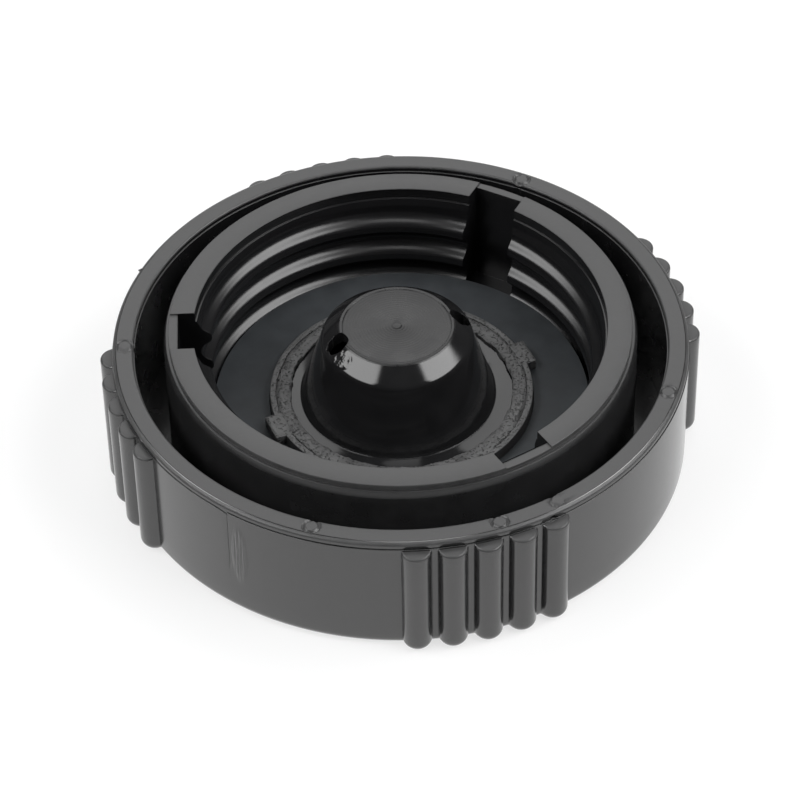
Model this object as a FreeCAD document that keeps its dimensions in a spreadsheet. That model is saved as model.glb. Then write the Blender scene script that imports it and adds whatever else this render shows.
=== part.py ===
import FreeCAD, Part
import math
import os

import Sketcher

# Vented fuel cap, lying on its crown with the threaded mouth up.
# Millimetres. +Z points out of the mouth, and the origin is on the axis at the crown's resting face.

# Driving sizes: name, value, what it measures
SIZES = [
    ("thread_root", 35.35, "radius at the thread's root, over the neck's thread"),
    ("thread_depth", 2.0, "ridge height, root to crest"),
    ("thread_pitch", 6.5, "pitch of the single right-handed start"),
    ("thread_root_width", 4.05, "ridge width at the root"),
    ("thread_crest_width", 2.2, "ridge width below the crest's bevel"),
    ("thread_bevel", 0.35, "radial height of the crest's bevel"),
    ("thread_land_width", 1.0, "width of the flat on the crest"),
    ("thread_end_depth", 3.56, "ridge's upper end below the lip"),
    ("mouth_step", 0.7, "plain mouth beyond the thread's root"),
    ("mouth_depth", 2.0, "length of the plain mouth"),
    ("mouth_taper", 1.5, "cone from the mouth to the thread root"),
    ("slot_count", 3, "slots through the collar's bore"),
    ("slot_angle", 45.7, "first slot from +X, degrees"),
    ("slot_width", 9.1, "parallel slot width"),
    ("slot_depth", 2.65, "slot's outer wall beyond the mouth"),
    ("slot_lip_cut", 0.3, "shallow cut of the lip outside the slot"),
    ("collar_skin", 2.6, "collar wall outside a slot"),
    ("collar_height", 28.0, "top of the collar's lip above the crown face"),
    ("lip_step", 0.94, "radial step below the lip"),
    ("lip_height", 1.0, "height of the lip"),
    ("shoulder_flat", 0.5, "flat of the step below the lip"),
    ("shoulder_taper", 1.2, "height of the bevel outside that flat"),
    ("groove_width", 5.4, "groove between collar and skirt"),
    ("skirt_wall", 3.75, "skirt thickness"),
    ("skirt_height", 24.35, "rim above the crown face"),
    ("parting_drop", 1.25, "mould parting line below the rim"),
    ("parting_step", 0.12, "radial step at the parting line"),
    ("base_round", 2.1, "rounding between crown and skirt, ribs too"),
    ("rim_round", 0.6, "outer rounding of the rim"),
    ("rim_inner_chamfer", 0.4, "broken inner edge of the rim"),
    ("crown_wall", 3.5, "crown thickness under the groove"),
    ("crown_rest_width", 12.0, "ring of the crown face that the cap lies on"),
    ("crown_recess_depth", 3.0, "shallow recess inside that ring"),
    ("crown_vent_radius", 1.25, "air hole through the crown"),
    ("rib_radius", 2.6, "round of a grip rib"),
    ("rib_sink", 0.5, "middle of that round inside the wall's face"),
    ("rib_drop", 0.4, "flat upper end of the ribs below the parting line"),
    ("rib_pitch", 6.95, "angle between ribs, degrees"),
    ("rib_count", 5, "ribs in a group"),
    ("rib_groups", 4, "groups round the skirt"),
    ("seat_skin", 4.5, "crown thickness under the gasket"),
    ("gasket_thickness", 2.7, "flat rubber ring"),
    ("gasket_gap", 0.15, "gasket clear of the crests, boss and lugs"),
    ("disc_radius", 10.2, "flat top disc of the vent housing"),
    ("chamfer_width", 3.2, "radial width of the housing's chamfer"),
    ("chamfer_height", 2.6, "height of that chamfer"),
    ("cone_spread", 3.85, "cone's foot beyond the chamfer"),
    ("housing_height", 16.6, "housing from the plate to its top disc"),
    ("housing_wall", 1.8, "housing wall"),
    ("flange_show", 2.4, "housing flange between the cone and the staked lip"),
    ("flange_thickness", 1.0, "housing flange"),
    ("housing_play", 0.6, "flange clear of its recess, all on one side"),
    ("housing_side", 164.0, "side that the housing leans to, degrees from +X"),
    ("stake_cover", 1.35, "staked lip beyond the recess's wall, over the flange"),
    ("stake_foot", 1.1, "staked lip's width outside the recess"),
    ("stake_thickness", 0.8, "staked lip over the housing's flange"),
    ("boss_ring", 1.2, "smooth ring of the boss outside the staked lip"),
    ("boss_ring_drop", 0.2, "smooth ring below the staked lip"),
    ("lug_reach", 1.6, "gasket lug beyond the boss"),
    ("lug_width", 5.8, "width of a lug"),
    ("lug_angle", 6.0, "lug from +X, degrees"),
    ("lug_count", 2, "lugs round the boss"),
    ("ledge_width", 3.0, "ledge under the seat plate's rim"),
    ("chamber_skin", 3.0, "crown thickness under the filter"),
    ("filter_room", 3.0, "depth of the filter chamber"),
    ("filter_gap", 0.3, "foam clear of wall and plate"),
    ("plate_gap", 0.4, "seat plate clear of its recess"),
    ("plate_thickness", 1.6, "seat plate"),
    ("seat_radius", 3.0, "air hole of the valve's seat"),
    ("seat_wall", 0.8, "raised seat round the hole"),
    ("seat_rise", 0.6, "height of the raised seat"),
    ("vent_radius", 1.8, "vent hole in the chamfer"),
    ("vent_offset", 1.3, "vent hole's middle outside the top disc"),
    ("vent_angle", -1.0, "first vent hole from +X, degrees"),
    ("vent_count", 2, "vent holes"),
    ("stem_radius", 1.6, "poppet stem"),
    ("stem_hold", 4.0, "stem inside its guide, valve shut"),
    ("guide_gap", 0.3, "stem clear of its guide"),
    ("guide_wall", 1.2, "guide tube"),
    ("guide_room", 4.3, "guide tube above the shut poppet"),
    ("poppet_overlap", 2.2, "poppet disc beyond the raised seat"),
    ("poppet_thickness", 1.5, "poppet disc"),
    ("seal_thickness", 1.0, "rubber washer"),
    ("seal_gap", 0.1, "washer clear of the spigot"),
    ("spigot_radius", 1.3, "spigot through the washer"),
    ("button_overhang", 0.7, "button beyond the spigot, holds the washer on"),
    ("button_thickness", 0.6, "thickness of that button"),
    ("spring_gap", 0.675, "spring clear of the guide tube"),
    ("wire_radius", 0.225, "spring wire"),
    ("spring_turns", 6, "turns, both ends ground flat"),
]

doc = FreeCAD.newDocument("FuelCap")
sheet = doc.addObject("Spreadsheet::Sheet", "Sizes")
for row, (alias, number, note) in enumerate(SIZES, start=1):
    sheet.set(f"A{row}", alias)
    sheet.set(f"B{row}", str(number))
    sheet.set(f"C{row}", note)
    sheet.setAlias(f"B{row}", alias)
doc.recompute()


class Size:
    """An expression over the sheet's cells, which adds, scales and binds like a number."""

    def __init__(self, text):
        self.text = text

    def __add__(self, other):
        return Size(f"({self.text} + {as_text(other)})")

    def __sub__(self, other):
        return Size(f"({self.text} - {as_text(other)})")

    def __mul__(self, other):
        return Size(f"({self.text} * {as_text(other)})")

    def __truediv__(self, other):
        return Size(f"({self.text} / {as_text(other)})")

    def __neg__(self):
        return Size(f"(0 - {self.text})")


def as_text(item):
    return item.text if isinstance(item, Size) else repr(item)


def cell(alias):
    return Size(f"{sheet.Name}.{alias}")


def number(size):
    """Present value of an expression."""
    return float(sheet.evalExpression(as_text(size)))


AXIS = Size("0")
HALF = Size("0.5")
FULL_TURN = Size("360")
QUARTER_TURN = math.pi / 2
WIRE_FLATS = 6  # sides that stand for the round of the thin wire

# Radii of the cap body, from the thread out
thread_crest = cell("thread_root") - cell("thread_depth")
mouth_radius = cell("thread_root") + cell("mouth_step")
slot_radius = mouth_radius + cell("slot_depth")
collar_radius = slot_radius + cell("collar_skin")
lip_radius = collar_radius - cell("lip_step")
rim_inner = collar_radius + cell("groove_width")
wall_radius = rim_inner + cell("skirt_wall")
upper_wall = wall_radius - cell("parting_step")

# Heights of the skirt and the collar
parting_height = cell("skirt_height") - cell("parting_drop")
rib_top = parting_height - cell("rib_drop")
lip_foot = cell("collar_height") - cell("lip_height")
thread_foot = cell("collar_height") - cell("mouth_depth") - cell("mouth_taper")
seat_floor = cell("crown_recess_depth") + cell("seat_skin")
gasket_top = seat_floor + cell("gasket_thickness")

# Radii of the vent, from its top disc out to the boss
shoulder_radius = cell("disc_radius") + cell("chamfer_width")
cone_radius = shoulder_radius + cell("cone_spread")
stake_inner = cone_radius + cell("flange_show")
recess_radius = stake_inner + cell("stake_cover")
stake_outer = recess_radius + cell("stake_foot")
boss_radius = stake_outer + cell("boss_ring")
chamber_radius = recess_radius - cell("ledge_width")
flange_radius = recess_radius - cell("housing_play")
plate_radius = recess_radius - cell("plate_gap")
poppet_radius = cell("seat_radius") + cell("seat_wall") + cell("poppet_overlap")
guide_bore = cell("stem_radius") + cell("guide_gap")
guide_outer = guide_bore + cell("guide_wall")
spring_radius = guide_outer + cell("spring_gap") + cell("wire_radius")

# Heights of the stacked vent, from the crown up
chamber_floor = cell("crown_recess_depth") + cell("chamber_skin")
ledge = chamber_floor + cell("filter_room")
plate_top = ledge + cell("plate_thickness")
flange_top = plate_top + cell("flange_thickness")
stake_top = flange_top + cell("stake_thickness")
boss_top = stake_top - cell("boss_ring_drop")
housing_top = plate_top + cell("housing_height")
ceiling = housing_top - cell("housing_wall")
shoulder = housing_top - cell("chamfer_height")
seat_top = plate_top + cell("seat_rise")
seal_top = seat_top + cell("seal_thickness")
poppet_top = seal_top + cell("poppet_thickness")
guide_foot = poppet_top + cell("guide_room")
stem_top = guide_foot + cell("stem_hold")


def new_body(label):
    body = doc.addObject("PartDesign::Body", label)
    body.Label = label
    return body


def sketch_on(body, name, role, lift=None, turn=None, turn_axis=(0, 0, 1)):
    """An empty sketch on one of the body's own origin planes, lifted or turned by bound sizes."""
    plane = next(item for item in body.Origin.OriginFeatures if item.Role == role)
    sketch = body.newObject("Sketcher::SketchObject", name)
    sketch.AttachmentSupport = [(plane, "")]
    sketch.MapMode = "FlatFace"
    if turn is not None:
        rotation = FreeCAD.Rotation(FreeCAD.Vector(*turn_axis), number(turn))
        sketch.AttachmentOffset = FreeCAD.Placement(FreeCAD.Vector(), rotation)
        sketch.setExpression("AttachmentOffset.Rotation.Angle", turn.text)
    if lift is not None:
        sketch.setExpression("AttachmentOffset.Base.z", lift.text)
    return sketch


def radial_sketch(body, name, turn=None):
    """A sketch through the axis: x is the radius and y the height."""
    return sketch_on(body, name, "XZ_Plane", turn=turn, turn_axis=(0, 1, 0))


def level_sketch(body, name, lift=None, turn=None):
    """A sketch square to the axis."""
    return sketch_on(body, name, "XY_Plane", lift=lift, turn=turn)


def hold(sketch, kind, geometry, point, size):
    """Binds one coordinate of a sketch point to a size."""
    if size is AXIS:
        axis = -2 if kind == "DistanceX" else -1
        sketch.addConstraint(Sketcher.Constraint("PointOnObject", geometry, point, axis))
        return
    datum = Sketcher.Constraint(kind, -1, 1, geometry, point, number(size))
    index = sketch.addConstraint(datum)
    sketch.setExpression(f"Constraints[{index}]", size.text)


def draw_outline(sketch, corners):
    """Straight sides through corners that are held by bound sizes."""
    points = [FreeCAD.Vector(number(x), number(y), 0) for x, y in corners]
    count = len(points)
    for i in range(count):
        sketch.addGeometry(Part.LineSegment(points[i], points[(i + 1) % count]), False)
    for i in range(count):
        sketch.addConstraint(Sketcher.Constraint("Coincident", i, 2, (i + 1) % count, 1))
    for i, (x, y) in enumerate(corners):
        hold(sketch, "DistanceX", i, 1, x)
        hold(sketch, "DistanceY", i, 1, y)
    return sketch


def draw_circle(sketch, radius, x=AXIS, y=AXIS):
    centre = FreeCAD.Vector(number(x), number(y), 0)
    circle = Part.Circle(centre, FreeCAD.Vector(0, 0, 1), number(radius))
    index = sketch.addGeometry(circle, False)
    hold(sketch, "DistanceX", index, 3, x)
    hold(sketch, "DistanceY", index, 3, y)
    datum = sketch.addConstraint(Sketcher.Constraint("Radius", index, number(radius)))
    sketch.setExpression(f"Constraints[{datum}]", radius.text)
    return sketch


def draw_bar(sketch, near, far, width):
    """A rectangle from near to far along the sketch's x, centred on that axis."""
    half = width * HALF
    return draw_outline(sketch, [(near, -half), (far, -half), (far, half), (near, half)])


def revolve(body, name, sketch, axis="V_Axis"):
    feature = body.newObject("PartDesign::Revolution", name)
    feature.Profile = sketch
    feature.ReferenceAxis = (sketch, [axis])
    feature.Angle = 360
    return feature


def pad(body, name, sketch, length):
    feature = body.newObject("PartDesign::Pad", name)
    feature.Profile = sketch
    feature.setExpression("Length", length.text)
    return feature


def pocket(body, name, sketch, length, upwards=False):
    """Cuts from the sketch down, or up, by a bound length, and checks that it cut."""
    doc.recompute()
    before = body.Tip.Shape.Volume
    feature = body.newObject("PartDesign::Pocket", name)
    feature.Profile = sketch
    feature.Reversed = upwards
    feature.setExpression("Length", length.text)
    doc.recompute()
    if not feature.Shape.Volume < before:
        raise RuntimeError(f"{name} cut nothing")
    return feature


def ring_pattern(body, name, feature, count, spacing=None):
    """Repeats a feature round the axis, evenly or at a bound spacing."""
    pattern = body.newObject("PartDesign::PolarPattern", name)
    pattern.Originals = [feature]
    pattern.Axis = (axis_of(body), [""])
    if spacing is None:
        pattern.Angle = 360
    else:
        pattern.Mode = "Spacing"
        pattern.setExpression("Offset", spacing.text)
    pattern.setExpression("Occurrences", count.text)
    body.Tip = pattern
    return pattern


def axis_of(body):
    return next(item for item in body.Origin.OriginFeatures if item.Role == "Z_Axis")


def helix(body, name, sketch, turns, pitch=None, height=None):
    """Carries the sketch's section up a right-handed helix about the axis."""
    feature = body.newObject("PartDesign::AdditiveHelix", name)
    feature.Profile = sketch
    feature.ReferenceAxis = (sketch, ["V_Axis"])
    feature.Mode = "pitch-turns-angle" if pitch else "height-turns-angle"
    feature.setExpression("Turns", turns.text)
    if pitch:
        feature.setExpression("Pitch", pitch.text)
    else:
        feature.setExpression("Height", height.text)
    return feature


def break_edge(body, kind, name, size, at_radius, at_height):
    """Rounds (Fillet) or bevels (Chamfer) the circular edge at a radius and height."""
    doc.recompute()
    base = body.Tip
    tolerance = 1e-4
    names = []
    for index, edge in enumerate(base.Shape.Edges, start=1):
        curve = edge.Curve
        if not isinstance(curve, Part.Circle):
            continue
        same_radius = abs(curve.Radius - number(at_radius)) < tolerance
        if same_radius and abs(curve.Center.z - number(at_height)) < tolerance:
            names.append(f"Edge{index}")
    feature = body.newObject(f"PartDesign::{kind}", name)
    feature.Base = (base, names)
    feature.setExpression("Radius" if kind == "Fillet" else "Size", size.text)
    return feature


# Cap body: crown, skirt, collar and boss as one moulding
cap = new_body("cap_body")
section = draw_outline(radial_sketch(cap, "CapSection"), [
    (AXIS, AXIS),
    (wall_radius, AXIS),
    (wall_radius, parting_height),
    (upper_wall, parting_height),
    (upper_wall, cell("skirt_height")),
    (rim_inner, cell("skirt_height")),
    (rim_inner, cell("crown_wall")),
    (collar_radius, cell("crown_wall")),
    (collar_radius, lip_foot - cell("shoulder_taper")),
    (lip_radius + cell("shoulder_flat"), lip_foot),
    (lip_radius, lip_foot),
    (lip_radius, cell("collar_height")),
    (mouth_radius, cell("collar_height")),
    (mouth_radius, cell("collar_height") - cell("mouth_depth")),
    (cell("thread_root"), thread_foot),
    (cell("thread_root"), seat_floor),
    (boss_radius, seat_floor),
    (boss_radius, boss_top),
    (stake_outer, boss_top),
    (stake_outer, stake_top),
    (stake_inner, stake_top),
    (stake_inner, flange_top),
    (recess_radius, flange_top),
    (recess_radius, ledge),
    (chamber_radius, ledge),
    (chamber_radius, chamber_floor),
    (AXIS, chamber_floor),
])
revolve(cap, "CapTurned", section)
break_edge(cap, "Fillet", "BaseRound", cell("base_round"), wall_radius, AXIS)
break_edge(cap, "Fillet", "RimRound", cell("rim_round"), upper_wall, cell("skirt_height"))
break_edge(cap, "Chamfer", "RimInnerEdge", cell("rim_inner_chamfer"), rim_inner, cell("skirt_height"))

# Coarse thread: one ridge that runs from the gasket's floor up to the middle of a slot
slot_step = FULL_TURN / cell("slot_count")
thread_rise = cell("collar_height") - cell("thread_end_depth") - seat_floor
thread_turns = thread_rise / cell("thread_pitch")
thread_start = cell("slot_angle") + slot_step + slot_step - FULL_TURN * thread_turns
ridge_root = cell("thread_root") + cell("thread_bevel")
ridge_neck = thread_crest + cell("thread_bevel")
half_root = cell("thread_root_width") * HALF
half_crest = cell("thread_crest_width") * HALF
half_land = cell("thread_land_width") * HALF
ridge = draw_outline(radial_sketch(cap, "ThreadSection", turn=thread_start), [
    (ridge_root, seat_floor - half_root),
    (ridge_root, seat_floor + half_root),
    (cell("thread_root"), seat_floor + half_root),
    (ridge_neck, seat_floor + half_crest),
    (thread_crest, seat_floor + half_land),
    (thread_crest, seat_floor - half_land),
    (ridge_neck, seat_floor - half_crest),
    (cell("thread_root"), seat_floor - half_root),
])
helix(cap, "Thread", ridge, thread_turns, pitch=cell("thread_pitch"))

# Slots through lip and thread, each with a shallow cut of the lip outside it
slot_inner = thread_crest - cell("thread_depth")
slot_sketch = level_sketch(cap, "SlotSection", lift=cell("collar_height"), turn=cell("slot_angle"))
draw_bar(slot_sketch, slot_inner, slot_radius, cell("slot_width"))
slot = pocket(cap, "Slot", slot_sketch, cell("collar_height") - seat_floor)
ring_pattern(cap, "Slots", slot, cell("slot_count"))
notch_sketch = level_sketch(cap, "NotchSection", lift=cell("collar_height"), turn=cell("slot_angle"))
draw_bar(notch_sketch, slot_inner, collar_radius, cell("slot_width"))
notch = pocket(cap, "Notch", notch_sketch, cell("slot_lip_cut"))
ring_pattern(cap, "Notches", notch, cell("slot_count"))

# Lugs that hold the gasket down
lug_foot = gasket_top + cell("gasket_gap")
lug_inner = (recess_radius + stake_outer) * HALF
lug_sketch = level_sketch(cap, "LugSection", lift=lug_foot, turn=cell("lug_angle"))
draw_bar(lug_sketch, lug_inner, boss_radius + cell("lug_reach"), cell("lug_width"))
lug = pad(cap, "Lug", lug_sketch, stake_top - lug_foot)
ring_pattern(cap, "Lugs", lug, cell("lug_count"))

# Grip ribs: round in section, flat on top, and rounded below like the skirt
rib_start = cell("rib_pitch") * (HALF - cell("rib_count") * HALF)
rib_sketch = radial_sketch(cap, "RibSection", turn=rib_start)
rib_centre = wall_radius - cell("rib_sink")
rib_outer = rib_centre + cell("rib_radius")
sole = rib_outer - cell("base_round")
sides = [(rib_outer, cell("base_round")), (rib_outer, rib_top), (rib_centre, rib_top), (rib_centre, AXIS), (sole, AXIS)]
spots = [FreeCAD.Vector(number(x), number(y), 0) for x, y in sides]
for first, second in zip(spots, spots[1:]):
    rib_sketch.addGeometry(Part.LineSegment(first, second))
round_centre = FreeCAD.Vector(number(sole), number(cell("base_round")), 0)
quarter = Part.Circle(round_centre, FreeCAD.Vector(0, 0, 1), number(cell("base_round")))
rib_sketch.addGeometry(Part.ArcOfCircle(quarter, -QUARTER_TURN, 0))
rib_sketch.addGeometry(Part.LineSegment(spots[3], spots[2]), True)
for first, second in (((0, 2), (1, 1)), ((1, 2), (2, 1)), ((2, 2), (3, 1)), ((3, 2), (4, 1)), ((4, 2), (0, 1))):
    rib_sketch.addConstraint(Sketcher.Constraint("Coincident", *first, *second))
rib_sketch.addConstraint(Sketcher.Constraint("Coincident", 5, 1, 2, 2))
rib_sketch.addConstraint(Sketcher.Constraint("Coincident", 5, 2, 2, 1))
rib_sketch.addConstraint(Sketcher.Constraint("Vertical", 0))
rib_sketch.addConstraint(Sketcher.Constraint("Horizontal", 1))
rib_sketch.addConstraint(Sketcher.Constraint("Vertical", 2))
hold(rib_sketch, "DistanceX", 0, 1, rib_outer)
hold(rib_sketch, "DistanceY", 0, 1, cell("base_round"))
hold(rib_sketch, "DistanceY", 1, 1, rib_top)
hold(rib_sketch, "DistanceX", 2, 1, rib_centre)
hold(rib_sketch, "DistanceY", 3, 1, AXIS)
hold(rib_sketch, "DistanceX", 3, 2, sole)
hold(rib_sketch, "DistanceY", 3, 2, AXIS)
hold(rib_sketch, "DistanceY", 4, 3, cell("base_round"))
rib = revolve(cap, "Rib", rib_sketch, "Axis0")
doc.recompute()
rib_group = cap.newObject("PartDesign::PolarPattern", "RibGroup")
rib_group.Axis = (axis_of(cap), [""])
rib_group.Mode = "Spacing"
rib_group.setExpression("Offset", cell("rib_pitch").text)
rib_group.setExpression("Occurrences", cell("rib_count").text)
rib_round = cap.newObject("PartDesign::PolarPattern", "RibRound")
rib_round.Axis = (axis_of(cap), [""])
rib_round.Angle = 360
rib_round.setExpression("Occurrences", cell("rib_groups").text)
ribs = cap.newObject("PartDesign::MultiTransform", "Ribs")
ribs.Originals = [rib]
ribs.Transformations = [rib_group, rib_round]
cap.Tip = ribs

# Shallow recess in the crown's outer face, and the air hole into the filter chamber
recess_sketch = draw_circle(level_sketch(cap, "CrownRecessSection"), wall_radius - cell("crown_rest_width"))
pocket(cap, "CrownRecess", recess_sketch, cell("crown_recess_depth"), upwards=True)
vent_sketch = draw_circle(level_sketch(cap, "CrownVentSection"), cell("crown_vent_radius"))
pocket(cap, "CrownVent", vent_sketch, chamber_floor, upwards=True)

# Gasket: flat ring between the boss and the thread's crests
gasket = new_body("tank_gasket")
gasket_sketch = level_sketch(gasket, "GasketSection", lift=seat_floor)
draw_circle(gasket_sketch, thread_crest - cell("gasket_gap"))
draw_circle(gasket_sketch, boss_radius + cell("gasket_gap"))
pad(gasket, "GasketRing", gasket_sketch, cell("gasket_thickness"))

# Seat plate: rests on the ledge of the boss, under the housing's flange
plate = new_body("seat_plate")
plate_section = draw_outline(radial_sketch(plate, "PlateSection"), [
    (cell("seat_radius"), ledge),
    (plate_radius, ledge),
    (plate_radius, plate_top),
    (cell("seat_radius") + cell("seat_wall"), plate_top),
    (cell("seat_radius") + cell("seat_wall"), seat_top),
    (cell("seat_radius"), seat_top),
])
revolve(plate, "PlateTurned", plate_section)

# Dust filter: foam disc on the chamber's floor
dust_filter = new_body("dust_filter")
foam_sketch = level_sketch(dust_filter, "FoamSection", lift=chamber_floor)
draw_circle(foam_sketch, chamber_radius - cell("filter_gap"))
pad(dust_filter, "FoamDisc", foam_sketch, cell("filter_room") - cell("filter_gap"))

# Vent housing: flanged cone with a flat top disc, vent holes in its chamfer and a guide tube inside
housing = new_body("vent_housing")
half_wall = cell("housing_wall") * HALF
housing_section = draw_outline(radial_sketch(housing, "HousingSection"), [
    (AXIS, housing_top),
    (AXIS, ceiling),
    (guide_bore, ceiling),
    (guide_bore, guide_foot),
    (guide_outer, guide_foot),
    (guide_outer, ceiling),
    (cell("disc_radius") - half_wall, ceiling),
    (shoulder_radius - cell("housing_wall"), shoulder - half_wall),
    (cone_radius - cell("housing_wall"), plate_top),
    (flange_radius, plate_top),
    (flange_radius, flange_top),
    (cone_radius, flange_top),
    (shoulder_radius, shoulder),
    (cell("disc_radius"), housing_top),
])
revolve(housing, "HousingTurned", housing_section)
hole_sketch = level_sketch(housing, "VentSection", lift=housing_top, turn=cell("vent_angle"))
draw_circle(hole_sketch, cell("vent_radius"), x=cell("disc_radius") + cell("vent_offset"))
hole = pocket(housing, "Vent", hole_sketch, cell("chamfer_height") + half_wall)
ring_pattern(housing, "Vents", hole, cell("vent_count"))

# Poppet: disc, stem in the guide, and a spigot with a button that holds the washer
poppet = new_body("valve_poppet")
button_radius = cell("spigot_radius") + cell("button_overhang")
poppet_section = draw_outline(radial_sketch(poppet, "PoppetSection"), [
    (AXIS, seat_top - cell("button_thickness")),
    (button_radius, seat_top - cell("button_thickness")),
    (button_radius, seat_top),
    (cell("spigot_radius"), seat_top),
    (cell("spigot_radius"), seal_top),
    (poppet_radius, seal_top),
    (poppet_radius, poppet_top),
    (cell("stem_radius"), poppet_top),
    (cell("stem_radius"), stem_top),
    (AXIS, stem_top),
])
revolve(poppet, "PoppetTurned", poppet_section)

# Seal: washer between the poppet's disc and its button
seal = new_body("valve_seal")
seal_sketch = level_sketch(seal, "SealSection", lift=seat_top)
draw_circle(seal_sketch, poppet_radius)
draw_circle(seal_sketch, cell("spigot_radius") + cell("seal_gap"))
pad(seal, "SealWasher", seal_sketch, cell("seal_thickness"))

# Spring: from the poppet's disc up to the housing's ceiling, ends ground flat
spring = new_body("valve_spring")
wire_diameter = cell("wire_radius") + cell("wire_radius")
wire = radial_sketch(spring, "WireSection")
flats = []
for flat in range(WIRE_FLATS):
    angle = f"{360 * (flat + 0.5) / WIRE_FLATS} deg"
    flat_x = spring_radius + cell("wire_radius") * Size(f"cos({angle})")
    flat_y = poppet_top + cell("wire_radius") * Size(f"sin({angle})")
    flats.append((flat_x, flat_y))
draw_outline(wire, flats)
helix(spring, "Coil", wire, cell("spring_turns"), height=ceiling - poppet_top)
for end_name, end_height, upwards in (("LowerEnd", poppet_top, False), ("UpperEnd", ceiling, True)):
    end_sketch = level_sketch(spring, end_name + "Section", lift=end_height)
    draw_circle(end_sketch, spring_radius + wire_diameter)
    pocket(spring, end_name, end_sketch, wire_diameter, upwards)

# The housing leans against one side of its recess, and carries the valve with it
side = cell("housing_side").text
for body in (housing, poppet, seal, spring):
    for direction, share in (("x", "cos"), ("y", "sin")):
        shift = cell("housing_play") * Size(f"{share}({side} * 1 deg)")
        body.setExpression(f"Placement.Base.{direction}", shift.text)

doc.recompute()

bodies = (cap, gasket, plate, dust_filter, housing, poppet, seal, spring)
for item in doc.Objects:
    if "Invalid" in item.State or "Error" in item.State:
        raise RuntimeError(f"{item.Label} did not build: {item.State}")
for body in bodies:
    if body.Shape.isNull() or not body.Shape.isValid():
        raise RuntimeError(f"{body.Label} has no valid shape")

os.makedirs("parts", exist_ok=True)
for body in bodies:
    body.Shape.exportStep(f"parts/{body.Label}.step")
    print(f"{body.Label}: {body.Shape.Volume:.1f} mm3, {len(body.Shape.Solids)} solid")
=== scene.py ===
import math

import bmesh
import bpy
from mathutils import Matrix, Vector, noise


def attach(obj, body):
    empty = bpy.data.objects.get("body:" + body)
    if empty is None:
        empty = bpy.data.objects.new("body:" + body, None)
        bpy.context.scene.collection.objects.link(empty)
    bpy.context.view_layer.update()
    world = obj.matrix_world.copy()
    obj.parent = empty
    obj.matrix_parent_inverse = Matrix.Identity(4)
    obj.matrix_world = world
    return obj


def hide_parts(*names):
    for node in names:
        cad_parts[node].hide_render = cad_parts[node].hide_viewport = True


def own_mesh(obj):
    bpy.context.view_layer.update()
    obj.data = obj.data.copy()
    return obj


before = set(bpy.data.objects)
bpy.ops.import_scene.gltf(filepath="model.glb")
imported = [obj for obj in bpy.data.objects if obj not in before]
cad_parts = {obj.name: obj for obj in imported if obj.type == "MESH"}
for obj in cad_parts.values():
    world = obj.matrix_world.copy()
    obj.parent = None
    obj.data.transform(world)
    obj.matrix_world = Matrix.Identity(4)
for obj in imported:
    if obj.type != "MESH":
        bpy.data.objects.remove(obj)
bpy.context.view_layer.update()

MM = 0.001

# Camera, fitted to the cap's circles in the photograph
AZIMUTH = math.radians(-16.0)
ELEVATION = math.radians(43.43)
ROLL = math.radians(1.184)
DISTANCE = 628.1 * MM
AIM_RIGHT = -0.309 * MM
AIM_UP = 6.813 * MM
SENSOR = 36.0
LENS = 157.5
CLIP_START = 0.01

# Studio, in metres and degrees; azimuth 0 is the front, and a strength of 1 is white
SKY = 0.05
WINDOW_FADES = (9.0, 7.0)
WINDOWS = (
    # azimuth, its half width, elevation, its half height, strength
    (67.0, 34.0, 45.0, 15.0, 7.2),
    (-92.0, 38.0, 46.0, 12.0, 6.2),
    (166.0, 28.0, 44.0, 25.0, 1.9),
)
LAMP_DISTANCE = 1.5
FLOOR_HALF = 6.0
FLOOR_WHITE = 0.7

# Cap body, in millimetres; angles in degrees from +X
WALL_RADIUS = 50.45
BASE_ROUND = 2.1
PARTING_HEIGHT = 23.1
PARTING_STEP = 0.12
PARTING_LINE = 0.1
PARTING_CUT = 0.3
RIM_HEIGHT = 24.35
RIM_EDGE = 49.66
RIM_INNER = 46.7
RIM_INNER_ROUND = 0.4
INNER_LEDGE = 0.2
INNER_LEDGE_FADE = 0.25
INNER_LEDGE_TOP = 23.35
RIB_RADIUS = 2.6
RIB_CENTRE = 49.95
RIB_TOP = 22.7
RIB_TOP_HALF = 2.4
RIB_EDGE = 0.45
RIB_FILLET = 0.2
RIB_FLANK = 8
RIB_PITCH = 6.95
RIB_COUNT = 5
RIB_GROUPS = 4
GROOVE_FLOOR = 3.5
COLLAR_RADIUS = 41.3
SHOULDER_FLAT = 0.5
SHOULDER_TAPER = 1.2
LIP_FOOT = 27.0
LIP_RADIUS = 40.36
LIP_TOP = 28.0
EDGE_ROUND = 0.12
MOUTH_RADIUS = 36.05
MOUTH_FOOT = 26.0
MOUTH_LEDGE = 0.28
THREAD_ROOT = 35.35
THREAD_FOOT = 24.5
THREAD_CREST = 33.35
THREAD_PITCH = 6.5
THREAD_END_ANGLE = 285.7
THREAD_END_HEIGHT = 24.44
RIDGE_HALF_ROOT = 2.03
RIDGE_HALF_NECK = 1.1
RIDGE_HALF_CREST = 0.5
RIDGE_NECK_RADIUS = 33.7
SLOT_ANGLE = 45.7
SLOT_COUNT = 3
SLOT_HALF = 4.55
SLOT_FACE = 38.7
SLOT_LIP_CUT = 0.3
SEAT_FLOOR = 7.5
FLOOR_INNER = 30.0
BOSS_RADIUS = 23.3
BOSS_TOP = 12.2
STAKE_OUTER = 22.1
STAKE_INNER = 19.65
STAKE_TOP = 12.4
FLANGE_TOP = 11.6
RECESS_RADIUS = 21.0
LEDGE = 9.0
CHAMBER_RADIUS = 18.0
CHAMBER_FLOOR = 6.0
VENT_BORE = 1.25
CROWN_RECESS = 38.0
CROWN_RECESS_TOP = 3.0
LUG_ANGLE = 6.0
LUG_START = STAKE_OUTER - 0.5
LUG_REACH = 24.9
LUG_HALF = 2.9
LUG_FOOT = 10.35
LUG_CORNER = 0.35

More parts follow.
